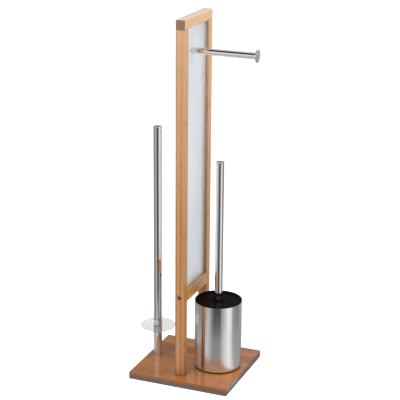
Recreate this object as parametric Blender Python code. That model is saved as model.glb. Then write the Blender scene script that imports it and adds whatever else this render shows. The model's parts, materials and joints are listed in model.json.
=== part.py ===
"""Free-standing toilet set: a bamboo frame with a frosted glass panel on a weighted base.

A steel arm for the roll in use stands out of the glass, a rod with a clear disc keeps spare rolls
on the left, and a steel cup with its brush stands on the right.
Axes: +X to the right, +Y to the back, +Z up. The origin is the middle of the base's underside.
All lengths are in metres.
"""

from math import cos, pi, radians, sin

import bmesh
import bpy
from mathutils import Vector

GAP = 0.0003  # left between pieces that touch

# Base
BASE_WIDTH = 0.200
BASE_DEPTH = 0.192
MAT_THICKNESS = 0.0020
PLATE_THICKNESS = 0.0042
BOARD_THICKNESS = 0.0073
PLATE_Z = MAT_THICKNESS + GAP
BOARD_Z = PLATE_Z + PLATE_THICKNESS + GAP
BASE_TOP = BOARD_Z + BOARD_THICKNESS
STAND_Z = BASE_TOP + GAP  # where a piece that stands on the board begins

# Frame of the glass panel, which lies in a Y-Z plane
FRAME_HEIGHT = 0.700
FRAME_X = -0.0045
FRAME_FRONT = -0.074
FRAME_BACK = 0.058
MEMBER_X = 0.018
POST_Y = 0.017
TOP_RAIL_Z = 0.018
BOTTOM_RAIL_Z = 0.022
BOTTOM_RAIL_LOW = 0.163
RAIL_SCREW_HEIGHT = 0.0105  # above the bottom rail's underside
WOOD_EDGE = 0.0008
TOP_RAIL_LOW = FRAME_HEIGHT - TOP_RAIL_Z
POST_INSIDE_FRONT = FRAME_FRONT + POST_Y
POST_INSIDE_BACK = FRAME_BACK - POST_Y
OPENING_LOW = BOTTOM_RAIL_LOW + BOTTOM_RAIL_Z

# Glass and the groove that holds it
GLASS_THICKNESS = 0.004
GLASS_FACE_X = 0.0  # the face on the arm's side
GLASS_IN_WOOD = 0.0055
GROOVE_DEPTH = 0.006
GLASS_X = GLASS_FACE_X - GLASS_THICKNESS / 2

# Wooden dowels and countersunk screws
DOWEL_RADIUS = 0.003
DOWEL_LENGTH = 0.028
DOWEL_IN_POST = 0.016
DOWEL_INSET = 0.0065
HOLE_CLEARANCE = 0.0003
RAIL_SCREW = {"length": 0.042, "shank": 0.0020, "head": 0.0042, "head_depth": 0.0030}
FOOT_SCREW = {"length": 0.045, "shank": 0.0024, "head": 0.0046, "head_depth": 0.0028}
ROD_SCREW = {"length": 0.026, "shank": 0.0024, "head": 0.0046, "head_depth": 0.0028}
SCREW_RECESS = 0.0003
SOCKET_WIDTH = 0.42  # of the head's radius
SOCKET_DEPTH = 0.6  # of the head's depth

# Arm for the roll in use
ARM_Y = -0.023
ARM_Z = 0.6365
ARM_RADIUS = 0.0059
ARM_END_X = 0.1200
ARM_CAP_RADIUS = 0.0124
ARM_CAP_THICKNESS = 0.0036
ARM_STUB_RADIUS = 0.0035
ARM_STUB_LENGTH = 0.009
WASHER_THICKNESS = 0.0008
ARM_SCREW_RADIUS = 0.0025
ARM_SCREW_DEPTH = 0.014
ARM_SCREW_HEAD_RADIUS = 0.0048
ARM_SCREW_HEAD_HEIGHT = 0.0028

# Rod for spare rolls
ACCESSORY_Y = 0.002
ROD_X = -0.082
ROD_RADIUS = 0.0080
ROD_WALL = 0.0010
ROD_TOP = 0.481
DISC_Z = 0.0754
DISC_THICKNESS = 0.0030
DISC_RADIUS = 0.0342
DISC_RECESS = 0.0006  # how far a collar is let into the disc
COLLAR_RADIUS = 0.0084
COLLAR_HEIGHT = 0.0120
BUSH_HEIGHT = 0.012
STUD_RADIUS = 0.0030
ROD_CAP_THICKNESS = 0.0020
CAP_PLUG_DEPTH = 0.008

# Brush cup
CUP_X = 0.045
CUP_RADIUS = 0.0455
CUP_WALL = 0.0008
CUP_TOP = 0.1500
FOOT_RING_HEIGHT = 0.0016
FOOT_RING_OUTER = 0.0440
FOOT_RING_INNER = 0.0360
CUP_FLOOR_Z = STAND_Z + FOOT_RING_HEIGHT + GAP

# Plastic liner inside the cup
LINER_RIM_RADIUS = 0.0453
LINER_RIM_THICKNESS = 0.0012
LINER_MOUTH_RADIUS = 0.0402
LINER_LEDGE_Z = 0.1475
LINER_WALL = 0.0015
LINER_INSIDE_RADIUS = 0.0382
LINER_TAPER = 0.0017
LINER_COLLAR_LOW = 0.1440
LINER_FLOOR_Z = CUP_FLOOR_Z + CUP_WALL + GAP
LINER_RIM_Z = CUP_TOP + GAP
TAB_ANGLE = radians(-79)
TAB_WIDTH = 0.006
TAB_LENGTH = 0.0044
TAB_HEIGHT = 0.0012

# Brush
LID_RADIUS = 0.0395
LID_THICKNESS = 0.0026
LID_Z = LINER_LEDGE_Z + GAP
LID_DISH = 0.0010
BOSS_RADIUS = 0.0105
BOSS_TOP = 0.1520
HANDLE_RADIUS = 0.0078
HANDLE_WALL = 0.0008
HANDLE_TOP = 0.4262
HANDLE_CAP_THICKNESS = 0.0026
HANDLE_BUSH_HEIGHT = 0.020
STEM_RADIUS = 0.0045
STEM_STUD_RADIUS = 0.0030
STEM_STUD_TOP = 0.1700
STEM_IN_CORE = 0.016
CORE_RADIUS = 0.0095
CORE_LOW = 0.0360
CORE_TOP = 0.1120
BRISTLE_RADIUS = 0.0340
BRISTLE_LOW = 0.0300
BRISTLE_TOP = 0.1040

# Facets round a full turn
FINE = 48
MEDIUM = 28
COARSE = 16

# Finishes: colour, metallic, roughness, alpha
BAMBOO = ((0.62, 0.33, 0.14), 0.0, 0.35, 1.0)
BEECH = ((0.72, 0.52, 0.32), 0.0, 0.60, 1.0)
STEEL = ((0.78, 0.78, 0.77), 1.0, 0.12, 1.0)
SCREW_STEEL = ((0.55, 0.50, 0.42), 1.0, 0.35, 1.0)
GREY_PAINT = ((0.16, 0.15, 0.14), 0.2, 0.60, 1.0)
FOAM = ((0.06, 0.06, 0.06), 0.0, 0.90, 1.0)
FROSTED = ((0.83, 0.88, 0.88), 0.0, 0.45, 0.6)
CLEAR = ((0.90, 0.94, 0.93), 0.0, 0.05, 0.35)
BLACK_PLASTIC = ((0.012, 0.012, 0.013), 0.0, 0.18, 1.0)
NYLON = ((0.70, 0.70, 0.68), 0.0, 0.50, 1.0)
BRISTLE = ((0.85, 0.85, 0.83), 0.0, 0.70, 1.0)


def clear_scene():
    for thing in list(bpy.data.objects):
        bpy.data.objects.remove(thing)


def finish(name, look):
    """A material for one piece, made from its finish."""
    colour, metallic, roughness, alpha = look
    made = bpy.data.materials.new(name + "_finish")
    made.use_nodes = True
    shader = made.node_tree.nodes["Principled BSDF"]
    shader.inputs["Base Color"].default_value = (*colour, 1.0)
    shader.inputs["Metallic"].default_value = metallic
    shader.inputs["Roughness"].default_value = roughness
    shader.inputs["Alpha"].default_value = alpha
    made.diffuse_color = (*colour, alpha)
    return made


def anchor(name, place, parent=None):
    """An empty on a joint's axis, which the pieces of one body hang from."""
    empty = bpy.data.objects.new(name, None)
    bpy.context.scene.collection.objects.link(empty)
    empty.parent = parent
    empty["world"] = place
    empty.location = Vector(place) - world_place(parent)
    return empty


def world_place(empty):
    return Vector(empty["world"]) if empty else Vector((0.0, 0.0, 0.0))


def object_from(name, shape, look, place, parent):
    """Turns a bmesh into an object at a place given in the part's own frame."""
    bmesh.ops.recalc_face_normals(shape, faces=shape.faces)
    mesh = bpy.data.meshes.new(name)
    shape.to_mesh(mesh)
    shape.free()
    piece = bpy.data.objects.new(name, mesh)
    bpy.context.scene.collection.objects.link(piece)
    piece.parent = parent
    piece.location = Vector(place) - world_place(parent)
    if look:
        mesh.materials.append(finish(name, look))
    return piece


def block(name, low, high, look=None, parent=None, edge=0.0):
    """A box between two corners, with its edges softened if edge is given."""
    low, high = Vector(low), Vector(high)
    size = high - low
    shape = bmesh.new()
    bmesh.ops.create_cube(shape, size=1.0)
    bmesh.ops.scale(shape, vec=size, verts=shape.verts)
    piece = object_from(name, shape, look, (low + high) / 2, parent)
    if edge:
        soft = piece.modifiers.new("soft edges", "BEVEL")
        soft.width = edge
        soft.segments = 2
        soft.limit_method = "ANGLE"
    return piece


def turned(name, profile, segments, look=None, place=(0, 0, 0), parent=None, turn=(0, 0, 0)):
    """A closed (radius, height) outline turned about Z, then rotated and placed."""
    shape = bmesh.new()
    corners = [shape.verts.new((radius, 0.0, height)) for radius, height in profile]
    edges = [shape.edges.new((a, b)) for a, b in zip(corners, corners[1:] + corners[:1])]
    bmesh.ops.spin(
        shape,
        geom=corners + edges,
        cent=(0, 0, 0),
        axis=(0, 0, 1),
        angle=2 * pi,
        steps=segments,
    )
    bmesh.ops.remove_doubles(shape, verts=shape.verts, dist=0.000001)
    on_axis = [e for e in shape.edges if all(abs(v.co.x) + abs(v.co.y) < 1e-7 for v in e.verts)]
    bmesh.ops.delete(shape, geom=on_axis, context="EDGES")
    piece = object_from(name, shape, look, place, parent)
    piece.rotation_euler = turn
    piece.data.shade_smooth()
    piece.data.set_sharp_from_angle(angle=radians(35))
    return piece


TO_X = (0, pi / 2, 0)
TO_Y = (-pi / 2, 0, 0)
TO_MINUS_Y = (pi / 2, 0, 0)


def disc_profile(radius, low, high, edge=0.0):
    """Outline of a plain disc or bar, from the axis out, with chamfered edges."""
    if not edge:
        return [(0, low), (radius, low), (radius, high), (0, high)]
    return [
        (0, low),
        (radius - edge, low),
        (radius, low + edge),
        (radius, high - edge),
        (radius - edge, high),
        (0, high),
    ]


def ring_profile(inner, outer, low, high, edge=0.0):
    """Outline of a ring or a tube, with its outer edges chamfered."""
    if not edge:
        return [(inner, low), (outer, low), (outer, high), (inner, high)]
    return [
        (inner, low),
        (outer - edge, low),
        (outer, low + edge),
        (outer, high - edge),
        (outer - edge, high),
        (inner, high),
    ]


def cut(piece, cutter, operation="DIFFERENCE"):
    cutter.hide_render = True
    cutter.display_type = "WIRE"
    change = piece.modifiers.new(cutter.name, "BOOLEAN")
    change.operation = operation
    change.object = cutter


def drill(piece, radius, start, length, turn=(0, 0, 0), name="hole"):
    """A round hole from start along the turned Z axis."""
    profile = disc_profile(radius, 0, length)
    cut(piece, turned(f"{piece.name}_{name}", profile, COARSE, place=start, turn=turn))


def screw_profile(screw, grow=0.0, extra=0.0):
    """Outline of a countersunk screw, head down at height 0 and its point up."""
    shank, head = screw["shank"] + grow, screw["head"] + grow
    cone, length = screw["head_depth"], screw["length"] + extra
    point = screw["shank"] * 1.5
    return [
        (0, 0),
        (head, 0),
        (head, 0.0006),
        (shank, cone),
        (shank, length - point),
        (shank * 0.25, length),
        (0, length),
    ]


def countersink(piece, screw, start, turn, name):
    """A hole that fits round a screw whose head lies a little under the surface."""
    below = -SCREW_RECESS - 0.001
    hole = screw_profile(screw, HOLE_CLEARANCE, 0.001)
    hole[:2] = [(0, below), (screw["head"] + HOLE_CLEARANCE, below)]
    cut(piece, turned(f"{piece.name}_{name}", hole, COARSE, place=start, turn=turn))


def screw_piece(name, screw, start, turn, parent):
    piece = turned(name, screw_profile(screw), COARSE, SCREW_STEEL, start, parent, turn)
    socket = bmesh.new()
    radius = screw["head"] * SOCKET_WIDTH
    depth = screw["head_depth"] * SOCKET_DEPTH
    bmesh.ops.create_cone(
        socket, cap_ends=True, segments=6, radius1=radius, radius2=radius, depth=2 * depth
    )
    cutter = object_from(name + "_socket", socket, None, start, None)
    cutter.rotation_euler = turn
    cut(piece, cutter)
    return piece


def make_base(stand):
    half_x, half_y = BASE_WIDTH / 2, BASE_DEPTH / 2
    inset = 0.0004
    block(
        "anti_slip_mat",
        (-half_x + inset, -half_y + inset, 0),
        (half_x - inset, half_y - inset, MAT_THICKNESS),
        FOAM,
        stand,
    )
    plate = block(
        "weight_plate",
        (-half_x, -half_y, PLATE_Z),
        (half_x, half_y, PLATE_Z + PLATE_THICKNESS),
        GREY_PAINT,
        stand,
        edge=0.0004,
    )
    board = block(
        "base_board",
        (-half_x, -half_y, BOARD_Z),
        (half_x, half_y, BASE_TOP),
        BAMBOO,
        stand,
        edge=WOOD_EDGE,
    )
    return plate, board


def foot_fixings(plate, board, posts, stand):
    """Screws from below into both posts and the rod: their heads sit in the weight plate."""
    head_z = PLATE_Z + SCREW_RECESS
    places = [
        ("front_post", FRAME_X, FRAME_FRONT + POST_Y / 2, FOOT_SCREW),
        ("rear_post", FRAME_X, FRAME_BACK - POST_Y / 2, FOOT_SCREW),
        ("spare_rod", ROD_X, ACCESSORY_Y, ROD_SCREW),
    ]
    for name, x, y, screw in places:
        start = (x, y, head_z)
        targets = [plate, board] + ([posts[name]] if name in posts else [])
        for target in targets:
            countersink(target, screw, start, (0, 0, 0), name + "_screw_hole")
        screw_piece(name + "_screw", screw, start, (0, 0, 0), stand)


def groove(piece, low, high):
    cut(piece, block(piece.name + "_groove", low, high))


def glass_slot_x():
    """The groove's two sides along X."""
    half = GLASS_THICKNESS / 2 + GAP
    return GLASS_X - half, GLASS_X + half


def make_post(name, y_low, y_high, groove_y, stand):
    low_x, high_x = FRAME_X - MEMBER_X / 2, FRAME_X + MEMBER_X / 2
    post_top = TOP_RAIL_LOW - GAP
    post = block(
        name, (low_x, y_low, STAND_Z), (high_x, y_high, post_top), BAMBOO, stand, WOOD_EDGE
    )
    slot = glass_slot_x()
    groove(
        post,
        (slot[0], groove_y[0], OPENING_LOW - GROOVE_DEPTH),
        (slot[1], groove_y[1], post_top + 0.01),
    )
    return post


def make_frame(stand):
    """Two posts, the rail over them, the rail between them, and what joins them."""
    past = 0.005
    posts = {
        "front_post": make_post(
            "front_post",
            FRAME_FRONT,
            POST_INSIDE_FRONT,
            (POST_INSIDE_FRONT - GROOVE_DEPTH, POST_INSIDE_FRONT + past),
            stand,
        ),
        "rear_post": make_post(
            "rear_post",
            POST_INSIDE_BACK,
            FRAME_BACK,
            (POST_INSIDE_BACK - past, POST_INSIDE_BACK + GROOVE_DEPTH),
            stand,
        ),
    }
    low_x, high_x = FRAME_X - MEMBER_X / 2, FRAME_X + MEMBER_X / 2
    slot = glass_slot_x()
    top = block(
        "top_rail",
        (low_x, FRAME_FRONT, TOP_RAIL_LOW),
        (high_x, FRAME_BACK, FRAME_HEIGHT),
        BAMBOO,
        stand,
        WOOD_EDGE,
    )
    groove(
        top,
        (slot[0], POST_INSIDE_FRONT - GROOVE_DEPTH, TOP_RAIL_LOW - past),
        (slot[1], POST_INSIDE_BACK + GROOVE_DEPTH, TOP_RAIL_LOW + GROOVE_DEPTH),
    )
    bottom = block(
        "bottom_rail",
        (low_x, POST_INSIDE_FRONT + GAP, BOTTOM_RAIL_LOW),
        (high_x, POST_INSIDE_BACK - GAP, OPENING_LOW),
        BAMBOO,
        stand,
        WOOD_EDGE,
    )
    groove(
        bottom,
        (slot[0], POST_INSIDE_FRONT - past, OPENING_LOW - GROOVE_DEPTH),
        (slot[1], POST_INSIDE_BACK + past, OPENING_LOW + past),
    )
    join_top_rail(posts, top, stand)
    join_bottom_rail(posts, bottom, stand)
    return posts


def join_top_rail(posts, top, stand):
    places = {
        "front_post": FRAME_FRONT + DOWEL_INSET,
        "rear_post": FRAME_BACK - DOWEL_INSET,
    }
    slack = 0.001
    low = TOP_RAIL_LOW - DOWEL_IN_POST
    for name, y in places.items():
        start = (FRAME_X, y, low - slack)
        length = DOWEL_LENGTH + 2 * slack
        drill(posts[name], DOWEL_RADIUS + HOLE_CLEARANCE, start, length, name="dowel_hole")
        drill(top, DOWEL_RADIUS + HOLE_CLEARANCE, start, length, name=name + "_dowel_hole")
        profile = disc_profile(DOWEL_RADIUS, 0, DOWEL_LENGTH, edge=0.0006)
        turned(name + "_dowel", profile, COARSE, BEECH, (FRAME_X, y, low), stand)


def join_bottom_rail(posts, bottom, stand):
    """A countersunk screw through each post into the rail's end."""
    z = BOTTOM_RAIL_LOW + RAIL_SCREW_HEIGHT
    ends = {
        "front_post": (FRAME_FRONT + SCREW_RECESS, TO_Y),
        "rear_post": (FRAME_BACK - SCREW_RECESS, TO_MINUS_Y),
    }
    for name, (y, turn) in ends.items():
        start = (FRAME_X, y, z)
        countersink(posts[name], RAIL_SCREW, start, turn, "rail_screw_hole")
        countersink(bottom, RAIL_SCREW, start, turn, name + "_screw_hole")
        screw_piece("rail_screw_" + name.split("_")[0], RAIL_SCREW, start, turn, stand)


def make_glass(stand):
    glass = block(
        "glass_panel",
        (
            GLASS_FACE_X - GLASS_THICKNESS,
            POST_INSIDE_FRONT - GLASS_IN_WOOD,
            OPENING_LOW - GLASS_IN_WOOD,
        ),
        (GLASS_FACE_X, POST_INSIDE_BACK + GLASS_IN_WOOD, TOP_RAIL_LOW + GLASS_IN_WOOD),
        FROSTED,
        stand,
        edge=0.0003,
    )
    start = (GLASS_FACE_X - 2 * GLASS_THICKNESS, ARM_Y, ARM_Z)
    drill(glass, ARM_SCREW_RADIUS + 0.0008, start, 4 * GLASS_THICKNESS, TO_X, "arm_hole")


def make_arm(stand):
    """The roll arm, clamped to the glass between two washers by a screw from behind."""
    hole = ARM_SCREW_RADIUS + HOLE_CLEARANCE
    washer = ring_profile(hole, ARM_RADIUS, 0, WASHER_THICKNESS)
    front_x = GLASS_FACE_X + GAP
    back_x = GLASS_FACE_X - GLASS_THICKNESS - GAP - WASHER_THICKNESS
    turned("arm_front_washer", washer, COARSE, NYLON, (front_x, ARM_Y, ARM_Z), stand, TO_X)
    turned("arm_back_washer", washer, COARSE, NYLON, (back_x, ARM_Y, ARM_Z), stand, TO_X)

    rod_x = front_x + WASHER_THICKNESS + GAP
    length = ARM_END_X - rod_x
    bore = ARM_SCREW_DEPTH + 0.002
    stub_hole = ARM_STUB_RADIUS + HOLE_CLEARANCE
    profile = [
        (hole, 0),
        (ARM_RADIUS, 0),
        (ARM_RADIUS, length),
        (stub_hole, length),
        (stub_hole, length - ARM_STUB_LENGTH - 0.001),
        (0, length - ARM_STUB_LENGTH - 0.001),
        (0, bore),
        (hole, bore),
    ]
    turned("arm_rod", profile, MEDIUM, STEEL, (rod_x, ARM_Y, ARM_Z), stand, TO_X)

    cap_x = ARM_END_X + GAP
    neck = 0.0006
    cap = [
        (0, -ARM_STUB_LENGTH),
        (ARM_STUB_RADIUS, -ARM_STUB_LENGTH),
        (ARM_STUB_RADIUS, 0),
        (ARM_RADIUS, 0),
        (ARM_RADIUS + 0.0018, neck),
        (ARM_CAP_RADIUS - 0.0008, neck + 0.0006),
        (ARM_CAP_RADIUS, neck + 0.0014),
        (ARM_CAP_RADIUS, ARM_CAP_THICKNESS - 0.0007),
        (ARM_CAP_RADIUS - 0.0008, ARM_CAP_THICKNESS),
        (0, ARM_CAP_THICKNESS),
    ]
    turned("arm_end_cap", cap, MEDIUM, STEEL, (cap_x, ARM_Y, ARM_Z), stand, TO_X)

    head_low = back_x - GAP - ARM_SCREW_HEAD_HEIGHT
    shank_end = rod_x + ARM_SCREW_DEPTH - head_low
    screw = [
        (0, 0.0004),
        (0.0016, 0.0),
        (ARM_SCREW_HEAD_RADIUS - 0.0012, 0.0004),
        (ARM_SCREW_HEAD_RADIUS, ARM_SCREW_HEAD_HEIGHT * 0.6),
        (ARM_SCREW_HEAD_RADIUS, ARM_SCREW_HEAD_HEIGHT),
        (ARM_SCREW_RADIUS, ARM_SCREW_HEAD_HEIGHT),
        (ARM_SCREW_RADIUS, shank_end),
        (0, shank_end),
    ]
    turned("arm_screw", screw, COARSE, SCREW_STEEL, (head_low, ARM_Y, ARM_Z), stand, TO_X)


def make_spare_rod(stand):
    """A tube, a collar, the clear disc, a second collar and the long tube, held on one stud."""
    place = (ROD_X, ACCESSORY_Y, 0)

    def add(name, profile, segments, look):
        return turned(name, profile, segments, look, place, stand)

    tube_inside = ROD_RADIUS - ROD_WALL
    bush_radius = tube_inside - GAP
    stud_hole = STUD_RADIUS + HOLE_CLEARANCE
    disc_top = DISC_Z + DISC_THICKNESS
    lower_collar_top = DISC_Z + DISC_RECESS - GAP
    lower_collar_low = lower_collar_top - COLLAR_HEIGHT
    lower_tube_top = lower_collar_low - GAP
    upper_collar_low = disc_top - DISC_RECESS + GAP
    upper_collar_top = upper_collar_low + COLLAR_HEIGHT
    upper_tube_low = upper_collar_top + GAP
    upper_tube_top = ROD_TOP - ROD_CAP_THICKNESS - GAP

    tubes = {
        "spare_rod_lower_tube": (STAND_Z, lower_tube_top),
        "spare_rod_upper_tube": (upper_tube_low, upper_tube_top),
    }
    for name, (low, high) in tubes.items():
        add(name, ring_profile(tube_inside, ROD_RADIUS, low, high), MEDIUM, STEEL)
    collars = {
        "disc_lower_collar": (lower_collar_low, lower_collar_top),
        "disc_upper_collar": (upper_collar_low, upper_collar_top),
    }
    for name, (low, high) in collars.items():
        add(name, ring_profile(stud_hole, COLLAR_RADIUS, low, high, 0.0004), MEDIUM, STEEL)

    recess_radius = COLLAR_RADIUS + GAP
    edge = 0.0005
    disc = [
        (stud_hole, DISC_Z + DISC_RECESS),
        (recess_radius, DISC_Z + DISC_RECESS),
        (recess_radius, DISC_Z),
        (DISC_RADIUS - edge, DISC_Z),
        (DISC_RADIUS, DISC_Z + edge),
        (DISC_RADIUS, disc_top - edge),
        (DISC_RADIUS - edge, disc_top),
        (recess_radius, disc_top),
        (recess_radius, disc_top - DISC_RECESS),
        (stud_hole, disc_top - DISC_RECESS),
    ]
    add("spare_roll_disc", disc, FINE, CLEAR)

    foot_hole = ROD_SCREW["shank"] + HOLE_CLEARANCE
    bushes = {
        "spare_rod_foot_bush": (foot_hole, STAND_Z + GAP),
        "lower_tube_bush": (stud_hole, lower_tube_top - GAP - BUSH_HEIGHT),
        "upper_tube_bush": (stud_hole, upper_tube_low + GAP),
    }
    for name, (hole, low) in bushes.items():
        add(name, ring_profile(hole, bush_radius, low, low + BUSH_HEIGHT), COARSE, SCREW_STEEL)
    stud_low = lower_tube_top - GAP - BUSH_HEIGHT - 0.001
    stud_high = upper_tube_low + GAP + BUSH_HEIGHT + 0.001
    stud = disc_profile(STUD_RADIUS, stud_low, stud_high, 0.0005)
    add("disc_stud", stud, COARSE, SCREW_STEEL)
    cap = cap_profile(bush_radius, ROD_RADIUS, ROD_TOP, ROD_CAP_THICKNESS)
    add("spare_rod_cap", cap, MEDIUM, STEEL)


def cap_profile(plug_radius, radius, top, thickness):
    """A tube's end cap with a plug that goes down inside the tube."""
    under = top - thickness
    edge = 0.0005
    return [
        (0, under - CAP_PLUG_DEPTH),
        (plug_radius, under - CAP_PLUG_DEPTH),
        (plug_radius, under),
        (radius, under),
        (radius, top - edge),
        (radius - edge, top),
        (0, top),
    ]


def make_cup(cup):
    """The steel cup and the plastic ring that it stands on."""
    place = (CUP_X, ACCESSORY_Y, 0)
    ring = ring_profile(FOOT_RING_INNER, FOOT_RING_OUTER, STAND_Z, STAND_Z + FOOT_RING_HEIGHT)
    turned("cup_foot_ring", ring, FINE, BLACK_PLASTIC, place, cup)
    inside = CUP_RADIUS - CUP_WALL
    corner = 0.0012
    shell = [
        (0, CUP_FLOOR_Z),
        (CUP_RADIUS - corner, CUP_FLOOR_Z),
        (CUP_RADIUS, CUP_FLOOR_Z + corner),
        (CUP_RADIUS, CUP_TOP),
        (inside, CUP_TOP),
        (inside, CUP_FLOOR_Z + corner),
        (inside - corner / 2, CUP_FLOOR_Z + CUP_WALL),
        (0, CUP_FLOOR_Z + CUP_WALL),
    ]
    turned("cup_shell", shell, FINE, STEEL, place, cup)


def make_liner(liner):
    """A tapered bucket whose rim lies on the cup, with a ledge inside for the lid."""
    place = (CUP_X, ACCESSORY_Y, 0)
    rim_top = LINER_RIM_Z + LINER_RIM_THICKNESS
    collar_radius = CUP_RADIUS - CUP_WALL - 0.0004
    low_inside = LINER_INSIDE_RADIUS - LINER_TAPER
    profile = [
        (0, LINER_FLOOR_Z),
        (low_inside + LINER_WALL, LINER_FLOOR_Z),
        (LINER_INSIDE_RADIUS + LINER_WALL, LINER_COLLAR_LOW - 0.003),
        (collar_radius, LINER_COLLAR_LOW),
        (collar_radius, LINER_RIM_Z),
        (LINER_RIM_RADIUS, LINER_RIM_Z),
        (LINER_RIM_RADIUS, rim_top - 0.0004),
        (LINER_RIM_RADIUS - 0.0006, rim_top),
        (LINER_MOUTH_RADIUS, rim_top),
        (LINER_MOUTH_RADIUS, LINER_LEDGE_Z),
        (LINER_INSIDE_RADIUS, LINER_LEDGE_Z),
        (low_inside, LINER_FLOOR_Z + LINER_WALL + 0.002),
        (low_inside - 0.002, LINER_FLOOR_Z + LINER_WALL),
        (0, LINER_FLOOR_Z + LINER_WALL),
    ]
    bucket = turned("cup_liner", profile, FINE, BLACK_PLASTIC, place, liner)
    middle = (LINER_RIM_RADIUS + LINER_MOUTH_RADIUS) / 2
    centre = Vector((CUP_X + middle * cos(TAB_ANGLE), ACCESSORY_Y + middle * sin(TAB_ANGLE), rim_top))
    reach = Vector((TAB_LENGTH / 2 - 0.0003, TAB_WIDTH / 2, TAB_HEIGHT))
    tab = block("cup_liner_tab", centre - reach, centre + reach)
    tab.rotation_euler = (0, 0, TAB_ANGLE)
    cut(bucket, tab, "UNION")


def make_brush(brush):
    """Handle, lid, stem and head: everything that comes out of the cup with the brush."""
    place = (CUP_X, ACCESSORY_Y, 0)

    def add(name, profile, segments, look):
        return turned(name, profile, segments, look, place, brush)

    stud_hole = STEM_STUD_RADIUS + HOLE_CLEARANCE
    lid_top = LID_Z + LID_THICKNESS
    lid = [
        (stud_hole, LID_Z),
        (LID_RADIUS - 0.0006, LID_Z),
        (LID_RADIUS, LID_Z + 0.0006),
        (LID_RADIUS, lid_top - 0.0006),
        (LID_RADIUS - 0.0008, lid_top),
        (LID_RADIUS - 0.0040, lid_top - LID_DISH),
        (BOSS_RADIUS + 0.0020, lid_top - LID_DISH),
        (BOSS_RADIUS, BOSS_TOP - 0.0010),
        (BOSS_RADIUS - 0.0008, BOSS_TOP),
        (stud_hole, BOSS_TOP),
    ]
    add("brush_lid", lid, FINE, BLACK_PLASTIC)

    tube_low = BOSS_TOP + GAP
    tube_top = HANDLE_TOP - HANDLE_CAP_THICKNESS - GAP
    tube_inside = HANDLE_RADIUS - HANDLE_WALL
    plug = tube_inside - GAP
    tube = ring_profile(tube_inside, HANDLE_RADIUS, tube_low, tube_top)
    add("handle_tube", tube, MEDIUM, STEEL)
    cap = cap_profile(plug, HANDLE_RADIUS, HANDLE_TOP, HANDLE_CAP_THICKNESS)
    add("handle_end_cap", cap, MEDIUM, STEEL)
    bush_low = tube_low + GAP
    bush = ring_profile(stud_hole, plug, bush_low, bush_low + HANDLE_BUSH_HEIGHT)
    add("handle_bush", bush, COARSE, BLACK_PLASTIC)

    shoulder = LID_Z - GAP
    stem_low = CORE_TOP - STEM_IN_CORE
    stem = [
        (0, stem_low),
        (STEM_RADIUS, stem_low),
        (STEM_RADIUS, shoulder),
        (STEM_STUD_RADIUS, shoulder),
        (STEM_STUD_RADIUS, STEM_STUD_TOP),
        (0, STEM_STUD_TOP),
    ]
    add("brush_stem", stem, COARSE, BLACK_PLASTIC)

    socket = STEM_RADIUS + HOLE_CLEARANCE
    core = [
        (0, CORE_LOW),
        (CORE_RADIUS - 0.001, CORE_LOW),
        (CORE_RADIUS, CORE_LOW + 0.001),
        (CORE_RADIUS, BRISTLE_TOP + 0.003),
        (socket + 0.0015, CORE_TOP),
        (socket, CORE_TOP),
        (socket, stem_low - GAP),
        (0, stem_low - GAP),
    ]
    add("brush_head_core", core, COARSE, BLACK_PLASTIC)

    round_over = 0.008
    arc = [radians(angle) for angle in (0, 30, 60, 90)]
    corner_r, corner_z = BRISTLE_RADIUS - round_over, BRISTLE_LOW + round_over
    lower = [(corner_r + round_over * sin(a), corner_z - round_over * cos(a)) for a in arc]
    hole = CORE_RADIUS + GAP
    bristles = [(0, BRISTLE_LOW), *lower]
    bristles += [(BRISTLE_RADIUS, BRISTLE_TOP - 0.004), (BRISTLE_RADIUS - 0.004, BRISTLE_TOP)]
    bristles += [(hole, BRISTLE_TOP), (hole, CORE_LOW - GAP), (0, CORE_LOW - GAP)]
    add("brush_bristles", bristles, FINE, BRISTLE)


def build():
    clear_scene()
    stand = anchor("stand", (0, 0, 0))
    cup = anchor("cup", (CUP_X, ACCESSORY_Y, STAND_Z), stand)
    liner = anchor("liner", (CUP_X, ACCESSORY_Y, LINER_RIM_Z), cup)
    brush = anchor("brush", (CUP_X, ACCESSORY_Y, LID_Z), liner)
    plate, board = make_base(stand)
    posts = make_frame(stand)
    foot_fixings(plate, board, posts, stand)
    make_glass(stand)
    make_arm(stand)
    make_spare_rod(stand)
    make_cup(cup)
    make_liner(liner)
    make_brush(brush)


build()
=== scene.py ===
"""Looks of a free-standing toilet set: bamboo frame, frosted glass, polished steel and black plastic.

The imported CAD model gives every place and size. Wood, glass and hidden fixings keep their CAD
solids and get materials; turned metal and plastic pieces are made again with finer surfaces.
Lengths are in metres.
"""

import json
from math import cos, pi, radians, sin, tan
from random import Random

import bmesh
import bpy
from mathutils import Matrix, Vector


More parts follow.
